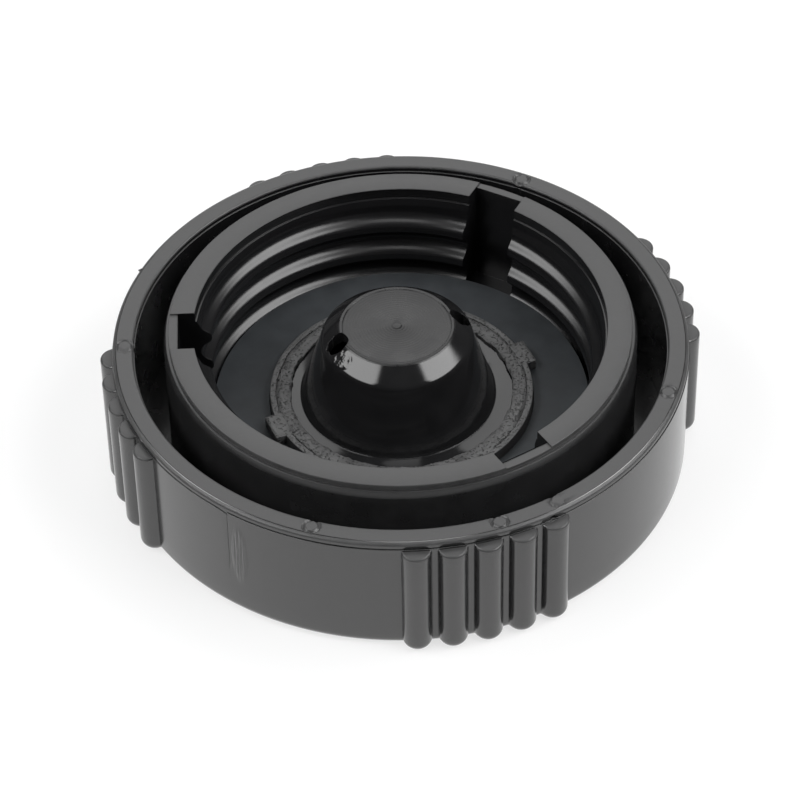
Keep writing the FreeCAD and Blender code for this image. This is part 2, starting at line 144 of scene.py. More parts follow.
# Marks of the mould and of wear
SEAM_ANGLE = -141.9
SEAM_DEPTH = 0.17
SEAM_FOOT = 9.5
SEAM_FADE = 2
SAG_DEPTH = 0.5
SAG_LENGTH = 3.2
SAG_FOOT = 20.0
EJECTOR_CIRCLE = 48.2
EJECTOR_RADIUS = 1.45
EJECTOR_LIFT = 0.08
EJECTOR_GAP = 0.28
EJECTOR_ANGLES = (-195.2, -124.6, -86.9, -73.9, -34.3, 45.7)
NOTCH_ANGLE = -76.6
NOTCH_DEPTH = 0.7
NOTCH_HALF = 0.8
NOTCH_ABOVE_LINE = 0.2
NOTCH_HALF_HEIGHT = 0.5
RIM_FLASH_ANGLE = -219
STAKE_FLASH_ANGLES = (*range(-128, -112, 2), *range(-92, -78, 2))
FLASH_THICKNESS = 0.12
SCRATCHED_BESIDE_SEAM = 2.2
SCRATCHED_HEIGHT = 14.0
SCRATCHED_REACH = (1.7, 1.7, 7.0)

# Vent housing and its spring
HOUSING_SHIFT = 0.6
HOUSING_SIDE = 164.0
HOUSING_TOP = 27.2
DISC_RADIUS = 10.2
SHOULDER_RADIUS = 13.4
SHOULDER_HEIGHT = 24.6
CONE_RADIUS = 17.25
FLANGE_RADIUS = 20.4
PLATE_TOP = 10.6
HOUSING_WALL = 1.8
CEILING = 25.4
GUIDE_OUTER = 3.1
GUIDE_BORE = 1.9
GUIDE_FOOT = 18.0
VENT_HOLES = ((-1.0, 11.5, 1.8), (182.6, 10.9, 1.92))  # angle, distance from the middle, radius
HOLE_TEAR = 0.25
TORN_RADIUS = 11.9
TORN_ANGLE = 199.0
TORN_HEIGHT = 25.9
TORN_REACH = (2.4, 2.4, 1.5)
SPRING_RADIUS = 4.0
SPRING_TURNS = 6
SPRING_FOOT = 13.7
WIRE_RADIUS = 0.225

# Lines of the meshes: distances from a middle line, heights, and numbers of spaces or points
RIB_LINES = (0.45, 0.9, 1.3, 1.65, 1.95, 2.15, 2.3, 2.42, 2.5, 2.58, 2.66, 2.76, 2.92)
RIB_LINES_END = 3.3
SEAM_LINES = (
    # distance beside the seam, share of its depth
    (-1.7, 0), (-1.0, 0), (-0.4, 0), (-0.12, 0.1), (0.0, 1.0), (0.12, 0.1), (0.4, 0),
)
MARK_STEP = 0.2
MARK_STEPS = 9
CLEAR_OF_MARKS = 2.0
WALL_HEIGHTS = (5.0, 8.0, 9.5, 10.5, 11.5, 14.0, 18.0, 20.5)
SKIRT_SPACES = 44
RIM_SPACES = 12
COLLAR_SPACES = 84
CLEAR_OF_SLOT = math.radians(12.5)
MOUTH_SPACES = 14
BOSS_POINTS = 420
HOUSING_POINTS = 240
HOLE_POINTS = 48
WIRE_POINTS = 14
WIRE_RINGS_A_TURN = 44

# Degrees by which faces have to turn for a hard edge
HOUSING_SHARP = 28
SPRING_SHARP = 50.0

# Material slots of the cap's moulding and of the housing; the inner wall's and the bore's are darker, painted
# shade
WALL, FACE, SHADED_INNER_WALL, SHADED_BORE, SHOULDER, STAKED = range(6)
GLOSS, DISC = range(2)

# Span that most of a noise texture's values lie in
NOISE_LOW, NOISE_HIGH = 0.35, 0.65


def polar(radius, angle, height):
    return (radius * math.cos(angle), radius * math.sin(angle), height)


HOUSING_AXIS = polar(HOUSING_SHIFT, math.radians(HOUSING_SIDE), 0.0)


# Camera, light and floor

def direction(azimuth, elevation):
    """Unit vector towards a place at that azimuth (0 is the front, -Y) and elevation, in radians."""
    flat = math.cos(elevation)
    return Vector((math.sin(azimuth) * flat, -math.cos(azimuth) * flat, math.sin(elevation)))


def looking(towards_eye, roll=0.0):
    """Rotation of a camera or lamp whose own +Z points to towards_eye."""
    back = towards_eye.normalized()
    right = Vector((0, 0, 1)).cross(back).normalized()
    up = back.cross(right)
    turned_right = right * math.cos(roll) - up * math.sin(roll)
    turned_up = right * math.sin(roll) + up * math.cos(roll)
    return Matrix((turned_right, turned_up, back)).transposed()


def show(obj):
    bpy.context.scene.collection.objects.link(obj)
    return obj


def make_camera():
    back = direction(AZIMUTH, ELEVATION)
    target = looking(back) @ Vector((AIM_RIGHT, AIM_UP, 0))
    camera = show(bpy.data.objects.new("camera", bpy.data.cameras.new("camera")))
    camera.data.sensor_width = SENSOR
    camera.data.lens = LENS
    camera.data.clip_start = CLIP_START
    camera.matrix_world = Matrix.Translation(target + back * DISTANCE) @ looking(back, ROLL).to_4x4()
    bpy.context.scene.camera = camera


def softbox(name, azimuth, elevation, half_width, half_height, radiance):
    """Rectangular lamp that faces the origin with an even radiance, white being 1; angles in degrees."""
    towards = direction(math.radians(azimuth), math.radians(elevation))
    lamp = bpy.data.lights.new(name, "AREA")
    lamp.shape = "RECTANGLE"
    lamp.size = 2 * LAMP_DISTANCE * math.tan(math.radians(half_width))
    lamp.size_y = 2 * LAMP_DISTANCE * math.tan(math.radians(half_height))
    lamp.energy = radiance * 4 * lamp.size * lamp.size_y
    holder = show(bpy.data.objects.new(name, lamp))
    holder.matrix_world = Matrix.Translation(towards * LAMP_DISTANCE) @ looking(towards).to_4x4()


def make_world():
    """A dim sky with soft windows, white where the camera looks past the floor."""
    world = bpy.data.worlds.new("studio")
    bpy.context.scene.world = world
    world.use_nodes = True
    tree = world.node_tree

    def maths(operation, *values):
        node = tree.nodes.new("ShaderNodeMath")
        node.operation = operation
        for socket, value in zip(node.inputs, values):
            if isinstance(value, float):
                socket.default_value = value
            else:
                tree.links.new(value, socket)
        return node.outputs[0]

    def within(value, half, fade):
        """1 while the value's size is under half, falling to 0 over fade degrees."""
        node = tree.nodes.new("ShaderNodeMapRange")
        node.interpolation_type = "SMOOTHSTEP"
        node.inputs["From Min"].default_value = math.radians(half + fade / 2)
        node.inputs["From Max"].default_value = math.radians(half - fade / 2)
        tree.links.new(maths("ABSOLUTE", value), node.inputs["Value"])
        return node.outputs["Result"]

    place = tree.nodes.new("ShaderNodeTexCoord")
    parts = tree.nodes.new("ShaderNodeSeparateXYZ")
    tree.links.new(place.outputs["Generated"], parts.inputs[0])
    azimuth = maths("ARCTAN2", parts.outputs["X"], maths("MULTIPLY", parts.outputs["Y"], -1.0))
    elevation = maths("ARCSINE", parts.outputs["Z"])
    side_fade, height_fade = WINDOW_FADES
    total = SKY
    for centre, half_width, middle, half_height, strength in WINDOWS:
        aside = maths("WRAP", maths("SUBTRACT", azimuth, math.radians(centre)), math.pi, -math.pi)
        above = maths("SUBTRACT", elevation, math.radians(middle))
        window = maths("MULTIPLY", within(aside, half_width, side_fade), within(above, half_height, height_fade))
        total = maths("ADD", maths("MULTIPLY", window, strength), total)
    path = tree.nodes.new("ShaderNodeLightPath")
    seen = path.outputs["Is Camera Ray"]
    hidden = maths("MULTIPLY", total, maths("SUBTRACT", 1.0, seen))
    background = tree.nodes["Background"]
    background.inputs["Color"].default_value = (1, 1, 1, 1)
    tree.links.new(maths("ADD", hidden, seen), background.inputs["Strength"])


class Nodes:
    """A new material with a Principled shader, and short ways to add nodes and links to it."""

    def __init__(self, name):
        self.material = bpy.data.materials.new(name)
        self.material.use_nodes = True
        self.tree = self.material.node_tree
        self.shader = self.tree.nodes["Principled BSDF"]

    def add(self, kind, **settings):
        """A new node; a setting goes to the input of that name, or else to the node's own attribute."""
        node = self.tree.nodes.new(kind)
        for key, value in settings.items():
            if key in node.inputs:
                node.inputs[key].default_value = value
            else:
                setattr(node, key, value)
        return node

    def link(self, source, target):
        self.tree.links.new(source, target)


def make_floor():
    """Pale floor that is nearly white to the camera and to mirrors, and keeps the cap's shadow."""
    mesh = bpy.data.meshes.new("floor")
    corners = [(x * FLOOR_HALF, y * FLOOR_HALF, 0) for x, y in ((-1, -1), (1, -1), (1, 1), (-1, 1))]
    mesh.from_pydata(corners, [], [(0, 1, 2, 3)])
    floor = show(bpy.data.objects.new("floor", mesh))
    nodes = Nodes("pale_floor")
    nodes.shader.inputs["Base Color"].default_value = (0.8, 0.8, 0.8, 1)
    nodes.shader.inputs["Roughness"].default_value = 0.9
    white = nodes.add("ShaderNodeEmission", Strength=1.0)
    path = nodes.add("ShaderNodeLightPath")
    seen = nodes.add("ShaderNodeMath", operation="MULTIPLY")
    seen.inputs[1].default_value = FLOOR_WHITE
    mirrored = nodes.add("ShaderNodeMath", operation="MAXIMUM")
    mix = nodes.add("ShaderNodeMixShader")
    output = nodes.tree.nodes["Material Output"]
    nodes.link(path.outputs["Is Camera Ray"], seen.inputs[0])
    nodes.link(seen.outputs[0], mirrored.inputs[0])
    nodes.link(path.outputs["Is Glossy Ray"], mirrored.inputs[1])
    nodes.link(mirrored.outputs[0], mix.inputs[0])
    nodes.link(nodes.shader.outputs[0], mix.inputs[1])
    nodes.link(white.outputs[0], mix.inputs[2])
    nodes.link(mix.outputs[0], output.inputs["Surface"])
    mesh.materials.append(nodes.material)


# Materials

def plastic(name, colour, roughness, grain_strength=0.1, soft_edge=0.1, gloss=0.5, mottle=0.12, grain=1500.0):
    """Moulded plastic: mottled a little, finely grained, edges softened by soft_edge millimetres."""
    nodes = Nodes(name)
    nodes.shader.inputs["Specular IOR Level"].default_value = gloss
    place = nodes.add("ShaderNodeTexCoord")
    cloud = nodes.add("ShaderNodeTexNoise", Scale=260.0, Detail=5.0)
    tint = nodes.add("ShaderNodeValToRGB")
    ends = zip(tint.color_ramp.elements, (NOISE_LOW, NOISE_HIGH), (1 - mottle, 1 + mottle))
    for element, position, share in ends:
        element.position = position
        element.color = (*[channel * share for channel in colour], 1)
    dull = nodes.add("ShaderNodeMapRange", **{
        "From Min": NOISE_LOW, "From Max": NOISE_HIGH,
        "To Min": roughness * (1 - mottle), "To Max": roughness * (1 + mottle),
    })
    fine = nodes.add("ShaderNodeTexNoise", Scale=grain, Detail=3.0)
    edge = nodes.add("ShaderNodeBevel", samples=6, Radius=soft_edge * MM)
    bump = nodes.add("ShaderNodeBump", Strength=grain_strength, Distance=0.0001)
    nodes.link(place.outputs["Object"], cloud.inputs["Vector"])
    nodes.link(cloud.outputs["Fac"], tint.inputs["Fac"])
    nodes.link(tint.outputs["Color"], nodes.shader.inputs["Base Color"])
    nodes.link(cloud.outputs["Fac"], dull.inputs["Value"])
    nodes.link(dull.outputs["Result"], nodes.shader.inputs["Roughness"])
    nodes.link(place.outputs["Object"], fine.inputs["Vector"])
    nodes.link(fine.outputs["Fac"], bump.inputs["Height"])
    nodes.link(edge.outputs["Normal"], bump.inputs["Normal"])
    nodes.link(bump.outputs["Normal"], nodes.shader.inputs["Normal"])
    return nodes


def add_relief(nodes, height, strength):
    """Puts one more bump on top of what the shader's normal already has."""
    bump = nodes.add("ShaderNodeBump", Strength=strength, Distance=0.0002)
    socket = nodes.shader.inputs["Normal"]
    before = socket.links[0].from_socket
    nodes.link(height, bump.inputs["Height"])
    nodes.link(before, bump.inputs["Normal"])
    nodes.link(bump.outputs["Normal"], socket)


def egg(nodes, centre, reach):
    """1 in an egg-shaped patch of the object, fading to 0 at its edge; sizes in millimetres."""
    place = nodes.add("ShaderNodeTexCoord")
    shifted = nodes.add("ShaderNodeVectorMath", operation="SUBTRACT")
    shifted.inputs[1].default_value = [value * MM for value in centre]
    scaled = nodes.add("ShaderNodeVectorMath", operation="DIVIDE")
    scaled.inputs[1].default_value = [value * MM for value in reach]
    far = nodes.add("ShaderNodeVectorMath", operation="LENGTH")
    mask = nodes.add("ShaderNodeMapRange", **{"From Min": 1.0, "From Max": 0.75})
    nodes.link(place.outputs["Object"], shifted.inputs[0])
    nodes.link(shifted.outputs["Vector"], scaled.inputs[0])
    nodes.link(scaled.outputs["Vector"], far.inputs[0])
    nodes.link(far.outputs["Value"], mask.inputs["Value"])
    return mask.outputs["Result"]


def scratches(nodes, centre, reach, strength, stretch=0.05, scale=1800.0):
    """Fine upright scratches in one patch of the material, or a torn patch where stretch is 1."""
    place = nodes.add("ShaderNodeTexCoord")
    stretched = nodes.add("ShaderNodeVectorMath", operation="MULTIPLY")
    stretched.inputs[1].default_value = (1.0, 1.0, stretch)
    lines = nodes.add("ShaderNodeTexNoise", Scale=scale, Detail=2.0)
    height = nodes.add("ShaderNodeMath", operation="MULTIPLY")
    nodes.link(place.outputs["Object"], stretched.inputs[0])
    nodes.link(stretched.outputs["Vector"], lines.inputs["Vector"])
    nodes.link(lines.outputs["Fac"], height.inputs[0])
    nodes.link(egg(nodes, centre, reach), height.inputs[1])
    add_relief(nodes, height.outputs[0], strength)
    return nodes


def pits_with_painted_shade(nodes, scale, share, strength):
    """Small pits where a noise is under share, their colour darkened as painted shade."""
    place = nodes.add("ShaderNodeTexCoord")
    cells = nodes.add("ShaderNodeTexNoise", Scale=scale, Detail=2.0)
    pit_depth_and_shade = nodes.add("ShaderNodeMapRange", **{"From Min": share, "From Max": share + 0.08})
    socket = nodes.shader.inputs["Base Color"]
    before = socket.links[0].from_socket
    # painted shade: the base colour is multiplied down in the pits
    mix = nodes.add("ShaderNodeMix", data_type="RGBA", blend_type="MULTIPLY")
    mix.inputs["Factor"].default_value = 1.0
    first_colour, second_colour, mixed_colour = mix.inputs[6], mix.inputs[7], mix.outputs[2]
    nodes.link(place.outputs["Object"], cells.inputs["Vector"])
    nodes.link(cells.outputs["Fac"], pit_depth_and_shade.inputs["Value"])
    nodes.link(before, first_colour)
    nodes.link(pit_depth_and_shade.outputs["Result"], second_colour)
    nodes.link(mixed_colour, socket)
    add_relief(nodes, pit_depth_and_shade.outputs["Result"], strength)
    return nodes


def turned_rings(nodes, centre, pitch, strength):
    """Concentric tool marks round an upright axis, broken up by noise."""
    place = nodes.add("ShaderNodeTexCoord")
    flat = nodes.add("ShaderNodeVectorMath", operation="MULTIPLY_ADD")
    flat.inputs[1].default_value = (1.0, 1.0, 0.0)
    flat.inputs[2].default_value = (-centre[0] * MM, -centre[1] * MM, 0.0)
    far = nodes.add("ShaderNodeVectorMath", operation="LENGTH")
    phase = nodes.add("ShaderNodeMath", operation="MULTIPLY")
    phase.inputs[1].default_value = math.tau / (pitch * MM)
    wave = nodes.add("ShaderNodeMath", operation="SINE")
    patchy = nodes.add("ShaderNodeTexNoise", Scale=350.0, Detail=2.0)
    height = nodes.add("ShaderNodeMath", operation="MULTIPLY")
    nodes.link(place.outputs["Object"], flat.inputs[0])
    nodes.link(flat.outputs["Vector"], far.inputs[0])
    nodes.link(far.outputs["Value"], phase.inputs[0])
    nodes.link(phase.outputs[0], wave.inputs[0])
    nodes.link(place.outputs["Object"], patchy.inputs["Vector"])
    nodes.link(wave.outputs[0], height.inputs[0])
    nodes.link(patchy.outputs["Fac"], height.inputs[1])
    add_relief(nodes, height.outputs[0], strength)
    return nodes


# Meshes of rings

class Skin:
    """Collects points in millimetres and faces, and welds them into one mesh."""

    def __init__(self):
        self.points = []
        self.faces = []
        self.kinds = []

    def ring(self, points):
        """Adds a closed ring of points, and returns their numbers."""
        first = len(self.points)
        self.points.extend(points)
        return list(range(first, len(self.points)))

    def strip(self, lower, upper, kind=0):
        """Quads between two closed rings with as many points each; kind may be one for each quad."""
        count = len(lower)
        for i in range(count):
            j = (i + 1) % count
            self.faces.append((lower[i], lower[j], upper[j], upper[i]))
            self.kinds.append(kind if isinstance(kind, int) else kind[i])

    def loft(self, rows):
        """Strips through rows of (ring, kind of the strip that ends there). Returns the end rings."""
        for (lower, _), (upper, kind) in zip(rows, rows[1:]):
            self.strip(lower, upper, kind)
        return rows[0][0], rows[-1][0]

    def lid(self, ring, kind=0):
        """One face over a closed ring."""
        self.faces.append(tuple(ring))
        self.kinds.append(kind)

    def stitch(self, lower, upper, kind=0):
        """Triangles between two closed rings about the axis with different numbers of points."""
        def turns(ring):
            angles = [math.atan2(self.points[i][1], self.points[i][0]) % math.tau for i in ring]
            start = angles.index(min(angles))
            order = ring[start:] + ring[:start]
            sorted_angles = angles[start:] + angles[:start]
            return order + [order[0]], sorted_angles + [sorted_angles[0] + math.tau]

        low, low_angles = turns(lower)
        high, high_angles = turns(upper)
        i = j = 0
        while i < len(low) - 1 or j < len(high) - 1:
            low_next = low_angles[i + 1] if i < len(low) - 1 else math.inf
            high_next = high_angles[j + 1] if j < len(high) - 1 else math.inf
            if low_next <= high_next:
                self.faces.append((low[i], low[i + 1], high[j]))
                i += 1
            else:
                self.faces.append((low[i], high[j + 1], high[j]))
                j += 1
            self.kinds.append(kind)

    def piece(self, name, materials, sharp=35.0):
        """The object, with hard edges where its faces turn by more than sharp degrees."""
        mesh = bpy.data.meshes.new(name)
        mesh.from_pydata([tuple(c * MM for c in p) for p in self.points], [], self.faces)
        mesh.polygons.foreach_set("material_index", self.kinds)
        for material in materials:
            mesh.materials.append(material)
        welded = bmesh.new()
        welded.from_mesh(mesh)
        bmesh.ops.remove_doubles(welded, verts=welded.verts, dist=0.0005 * MM)
        bmesh.ops.dissolve_degenerate(welded, edges=welded.edges, dist=0.0002 * MM)
        bmesh.ops.recalc_face_normals(welded, faces=welded.faces)
        welded.to_mesh(mesh)
        welded.free()
        mesh.shade_smooth()
        mesh.set_sharp_from_angle(angle=math.radians(sharp))
        return show(bpy.data.objects.new(name, mesh))


class Column:
    """One line of a mesh: radial, or parallel to a middle line at a distance across it."""

    def __init__(self, angle, across=None, inside=False, dent=0.0):
        self.angle = angle
        self.across = across
        self.inside = inside
        self.dent = dent

    def turn(self, radius):
        """The line's angle at a radius."""
        if self.across is None:
            return self.angle
        return self.angle + math.asin(self.across / radius)

    def point(self, radius, height):
        return polar(radius, self.turn(radius), height)


def round_points(centre, radius, start, end, steps):
    """Points of an arc in the profile's plane, angles in degrees."""
    points = []
    for i in range(steps + 1):
        angle = math.radians(start + (end - start) * i / steps)
        points.append((centre[0] + radius * math.cos(angle), centre[1] + radius * math.sin(angle)))
    return points


def turned(angle, start):
    """Angle from start to angle, between minus and plus half a turn."""
    return (angle - start + math.pi) % math.tau - math.pi


# Cap body: skirt with its ribs

def rib_angles():
    middle = (RIB_COUNT - 1) / 2
    for group in range(RIB_GROUPS):
        for rib in range(RIB_COUNT):
            yield math.radians(group * 360 / RIB_GROUPS + (rib - middle) * RIB_PITCH)


def beyond_mark(x, y):
    """Distance outside the nearest ejector mark's edge, negative within it."""
    spots = [polar(EJECTOR_CIRCLE, math.radians(angle), 0) for angle in EJECTOR_ANGLES]
    return min(math.hypot(x - spot[0], y - spot[1]) for spot in spots) - EJECTOR_RADIUS


def mark_lift(x, y):
    """Height that an ejector mark adds to the rim's top: a raised disc in a narrow sunk ring."""
    away = beyond_mark(x, y)
    # distance outside the mark's edge, height there
    ramp = [(-0.35, EJECTOR_LIFT), (-0.15, -EJECTOR_GAP), (0.05, -EJECTOR_GAP), (0.2, 0.0)]
    if away <= ramp[0][0]:
        return EJECTOR_LIFT
    for (from_away, from_lift), (to_away, to_lift) in zip(ramp, ramp[1:]):
        if away <= to_away:
            return from_lift + (to_lift - from_lift) * (away - from_away) / (to_away - from_away)
    return 0.0


def seam_share(height):
    """How deep the seam's dent is at a height, 1 being full."""
    return max(0.0, min(1.0, (height - SEAM_FOOT) / SEAM_FADE))


def sag(angle, height):
    """How far the lines near the parting line dip just before the seam."""
    before = -turned(angle, math.radians(SEAM_ANGLE)) * WALL_RADIUS
    if not 0 <= before < SAG_LENGTH or height > PARTING_HEIGHT + 2 * PARTING_LINE:
        return 0.0
    reach = max(0.0, (height - SAG_FOOT) / (PARTING_HEIGHT - SAG_FOOT))
    return SAG_DEPTH * (1 - before / SAG_LENGTH) ** 2 * reach


def notch(angle, height):
    """Depth of the small nick where the parting line passes the last rib of the front group."""
    aside = abs(turned(angle, math.radians(NOTCH_ANGLE))) * WALL_RADIUS / NOTCH_HALF
    above = abs(height - PARTING_HEIGHT - NOTCH_ABOVE_LINE) / NOTCH_HALF_HEIGHT
    return NOTCH_DEPTH * max(0.0, 1 - aside) * max(0.0, 1 - above)


def skirt_columns():
    """Lines over each rib, even ones between the groups, and close ones at the seam and the marks."""
    across_rib = [-across for across in reversed(RIB_LINES)] + [0.0, *RIB_LINES]
    columns = []
    for centre in rib_angles():
        columns += [Column(centre, across) for across in across_rib]
    edge = math.radians((RIB_COUNT - 1) / 2 * RIB_PITCH) + RIB_LINES_END / WALL_RADIUS
    seam = math.radians(SEAM_ANGLE)
    marks = [math.radians(angle) for angle in EJECTOR_ANGLES]
    quarter = math.tau / RIB_GROUPS
    for group in range(RIB_GROUPS):
        start = group * quarter + edge
        for i in range(SKIRT_SPACES + 1):
            angle = start + (quarter - 2 * edge) * i / SKIRT_SPACES
            if all(abs(turned(angle, place)) > CLEAR_OF_MARKS / WALL_RADIUS for place in (seam, *marks)):
                columns.append(Column(angle))
    for across, dent in SEAM_LINES:
        columns.append(Column(seam + across / WALL_RADIUS, dent=dent * SEAM_DEPTH))
    for mark in marks:
        if abs(turned(mark, round(mark / quarter) * quarter)) > edge:
            steps = range(-MARK_STEPS, MARK_STEPS + 1)
            columns += [Column(mark + i * MARK_STEP / EJECTOR_CIRCLE) for i in steps]
    return sorted(columns, key=lambda column: column.turn(WALL_RADIUS) % math.tau)


def rib_front(across, wall, rib):
    """How far the skirt's face stands out on a line across a rib of that section radius."""
    flat = math.sqrt(wall * wall - across * across)
    if abs(across) < rib:
        round_face = RIB_CENTRE + math.sqrt(rib * rib - across * across)
    else:
        round_face = RIB_CENTRE - (abs(across) - rib) * RIB_FLANK
    blend = max(0.0, RIB_FILLET - abs(flat - round_face))
    return max(flat, round_face) + blend * blend / (4 * RIB_FILLET)


def add_skirt(skin):
    """Outer wall, rim and inner wall. Returns the ring at the crown face and the one in the groove."""
    columns = skirt_columns()
    upper_wall = WALL_RADIUS - PARTING_STEP

    def row(radius, height, rib=0.0, seam=0.0):
        """A row of the wall, with its ribs where rib is their radius, and a share seam of the seam's dent."""
        points = []
        for column in columns:
            angle = column.turn(WALL_RADIUS)
            if rib and column.across is not None:
                reach = math.hypot(rib_front(column.across, radius, rib), column.across)
                points.append(column.point(reach, height))
            else:
                inward = column.dent * seam + notch(angle, height)
                points.append(polar(radius - inward, angle, height - sag(angle, height)))
        return skin.ring(points)

    def marked(radius, height):
        """A row of the rim, with the ejector marks."""
        points = []
        for column in columns:
            x, y, z = polar(radius, column.turn(WALL_RADIUS), height)
            points.append((x, y, z + mark_lift(x, y)))
        return skin.ring(points)

    def stepped(height):
        """A row of the inner wall below its ledge, which is missing under the ejector marks."""
        points = []
        for column in columns:
            x, y, z = polar(RIM_INNER, column.turn(WALL_RADIUS), height)
            share = min(1.0, max(0.0, beyond_mark(x, y) / INNER_LEDGE_FADE)) * INNER_LEDGE / RIM_INNER
            points.append((x * (1 - share), y * (1 - share), z))
        return skin.ring(points)

    rows = []
    for x, z in round_points((0.0, BASE_ROUND), BASE_ROUND, -90, 0, steps=9):
        inset = BASE_ROUND - x
        rows.append((row(WALL_RADIUS - inset, z, RIB_RADIUS - inset), WALL))
    for z in WALL_HEIGHTS:
        rows.append((row(WALL_RADIUS, z, RIB_RADIUS, seam=seam_share(z)), WALL))
    on_rib = [column.across is not None and abs(column.across) < RIB_TOP_HALF for column in columns]
    rib_top = [FACE if here and after else WALL for here, after in zip(on_rib, on_rib[1:] + on_rib[:1])]
    for index, (x, z) in enumerate(round_points((0.0, RIB_TOP - RIB_EDGE), RIB_EDGE, 0, 90, steps=5)):
        rib = RIB_RADIUS - RIB_EDGE + x
        rows.append((row(WALL_RADIUS, z, rib, seam=1), rib_top if index else WALL))
    rows.append((row(WALL_RADIUS, RIB_TOP, seam=1), rib_top))
    rows.append((row(WALL_RADIUS, PARTING_HEIGHT - PARTING_LINE, seam=1), WALL))
    rows.append((row(upper_wall - PARTING_CUT, PARTING_HEIGHT), WALL))
    rows.append((row(upper_wall, PARTING_HEIGHT + PARTING_LINE), WALL))
    bevel = [
        (upper_wall, RIM_HEIGHT - 0.62, WALL),
        (upper_wall - 0.03, RIM_HEIGHT - 0.46, FACE),
        (upper_wall - 0.12, RIM_HEIGHT - 0.33, FACE),
        (upper_wall - 0.3, RIM_HEIGHT - 0.18, FACE),
        (RIM_EDGE + 0.12, RIM_HEIGHT - 0.07, FACE),
        # glossy, so that the rim's edge shows as a bright line
        (RIM_EDGE + 0.04, RIM_HEIGHT - 0.02, WALL),
        (RIM_EDGE, RIM_HEIGHT, WALL),
    ]
    rows += [(row(x, z), kind) for x, z, kind in bevel]
    inner_round = (RIM_INNER + RIM_INNER_ROUND, RIM_HEIGHT - RIM_INNER_ROUND)
    for i in range(1, RIM_SPACES):
        rows.append((marked(RIM_EDGE + (inner_round[0] - RIM_EDGE) * i / RIM_SPACES, RIM_HEIGHT), FACE))
    rows += [(marked(x, z), FACE) for x, z in round_points(inner_round, RIM_INNER_ROUND, 90, 180, steps=5)]
    # the skirt's inner wall in the groove takes the darker inner-wall slot, painted shade
    rows.append((row(RIM_INNER, INNER_LEDGE_TOP), SHADED_INNER_WALL))
    rows.append((stepped(INNER_LEDGE_TOP - 0.04), FACE))
    rows.append((stepped(INNER_LEDGE_TOP - 0.1), SHADED_INNER_WALL))
    rows.append((stepped(GROOVE_FLOOR), SHADED_INNER_WALL))
    return skin.loft(rows)


# Cap body: collar with its lip, slots and thread

def ridge_profile():
    """Half of the ridge's section from the crest out: (offset along the axis, radius), all corners soft."""
    path = [
        (0.0, THREAD_CREST),
        (RIDGE_HALF_CREST, THREAD_CREST),
        (RIDGE_HALF_NECK, RIDGE_NECK_RADIUS),
        (RIDGE_HALF_ROOT - 0.25, THREAD_ROOT - 0.55),
        (RIDGE_HALF_ROOT + 0.4, THREAD_ROOT - 0.12),
        (RIDGE_HALF_ROOT + 1.0, THREAD_ROOT),
    ]
    for _ in range(2):
        softer = [path[0]]
        for start, end in zip(path, path[1:]):
            for share in (0.25, 0.75):
                softer.append(tuple(a + (b - a) * share for a, b in zip(start, end)))
        path = [*softer, path[-1]]
    return path


RIDGE = ridge_profile()


def ridge_radius(offset):
    """Radius of the ridge's surface at an offset from its middle, and beyond its foot as on a flank."""
    offset = abs(offset)
    for (x0, r0), (x1, r1) in zip(RIDGE, RIDGE[1:]):
        if offset <= x1:
            return r0 + (r1 - r0) * (offset - x0) / (x1 - x0)
    flank = (THREAD_ROOT - RIDGE_NECK_RADIUS) / (RIDGE_HALF_ROOT - RIDGE_HALF_NECK)
    return THREAD_ROOT + (offset - RIDGE[-1][0]) * flank


def ridge_centre(angle):
    """Height of the uppermost ridge at an angle in radians."""
    end = math.radians(THREAD_END_ANGLE)
    behind = (end - angle) % math.tau
    return THREAD_END_HEIGHT - THREAD_PITCH * behind / math.tau


def bore_radius(angle, height):
    """Radius of the bore with its thread, slots left out."""
    if height >= MOUTH_FOOT:
        base = MOUTH_RADIUS
    elif height >= THREAD_FOOT:
        share = (height - THREAD_FOOT) / (MOUTH_FOOT - THREAD_FOOT)
        base = THREAD_ROOT + share * (MOUTH_RADIUS - MOUTH_LEDGE - THREAD_ROOT)
    else:
        base = THREAD_ROOT
    centre = ridge_centre(angle)
    while centre >= SEAT_FLOOR - RIDGE_HALF_ROOT:
        if abs(height - centre) < THREAD_PITCH / 2:
            base = min(base, ridge_radius(height - centre))
        centre -= THREAD_PITCH
    return base


def collar_columns():
    """Lines beside and within each slot, and even ones between the slots."""
    columns = []
    beside = [SLOT_HALF + 1.65, SLOT_HALF + 0.65, SLOT_HALF + 0.15, SLOT_HALF]
    within = [SLOT_HALF, SLOT_HALF - 0.15, SLOT_HALF / 2]
    step = math.tau / SLOT_COUNT
    for slot in range(SLOT_COUNT):
        middle = math.radians(SLOT_ANGLE) + slot * step
        columns += [Column(middle, -across) for across in beside]
        columns += [Column(middle, -across, inside=True) for across in within]
        columns.append(Column(middle, 0.0, inside=True))
        columns += [Column(middle, across, inside=True) for across in reversed(within)]
        columns += [Column(middle, across) for across in reversed(beside)]
        for i in range(COLLAR_SPACES + 1):
            angle = middle + CLEAR_OF_SLOT + (step - 2 * CLEAR_OF_SLOT) * i / COLLAR_SPACES
            columns.append(Column(angle))
    return columns


